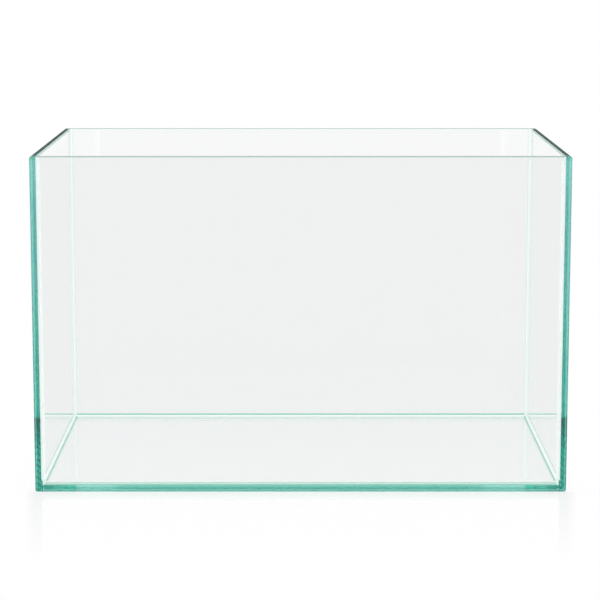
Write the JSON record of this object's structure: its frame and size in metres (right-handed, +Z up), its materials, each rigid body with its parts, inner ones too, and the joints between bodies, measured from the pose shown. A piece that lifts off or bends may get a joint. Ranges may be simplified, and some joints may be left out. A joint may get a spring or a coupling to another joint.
{
  "type": "glass aquarium tank",
  "caption": "Rimless open-topped glass tank for keeping fish: flat panes bonded edge to face with clear silicone and sealed along every inner seam.",
  "frame": {"origin": "middle of the footprint, on the surface that the tank stands on", "axes": "+Z up through the open top, +X along the length, -Y out of the front pane"},
  "size_m": [0.6, 0.38, 0.38],
  "materials": {
    "float_glass": "clear float glass with a green cast, ground and polished edges",
    "clear_silicone": "cured clear silicone, tooled smooth"
  },
  "bodies": {
    "root": {"front_pane": "float_glass", "back_pane": "float_glass", "left_pane": "float_glass", "right_pane": "float_glass", "base_pane": "float_glass", "front_left_bond": "clear_silicone", "front_right_bond": "clear_silicone", "back_left_bond": "clear_silicone", "back_right_bond": "clear_silicone", "base_front_bond": "clear_silicone", "base_back_bond": "clear_silicone", "base_left_bond": "clear_silicone", "base_right_bond": "clear_silicone", "front_left_seal": "clear_silicone", "front_right_seal": "clear_silicone", "back_left_seal": "clear_silicone", "back_right_seal": "clear_silicone", "base_front_seal": "clear_silicone", "base_back_seal": "clear_silicone", "base_left_seal": "clear_silicone", "base_right_seal": "clear_silicone"}
  },
  "joints": []
}
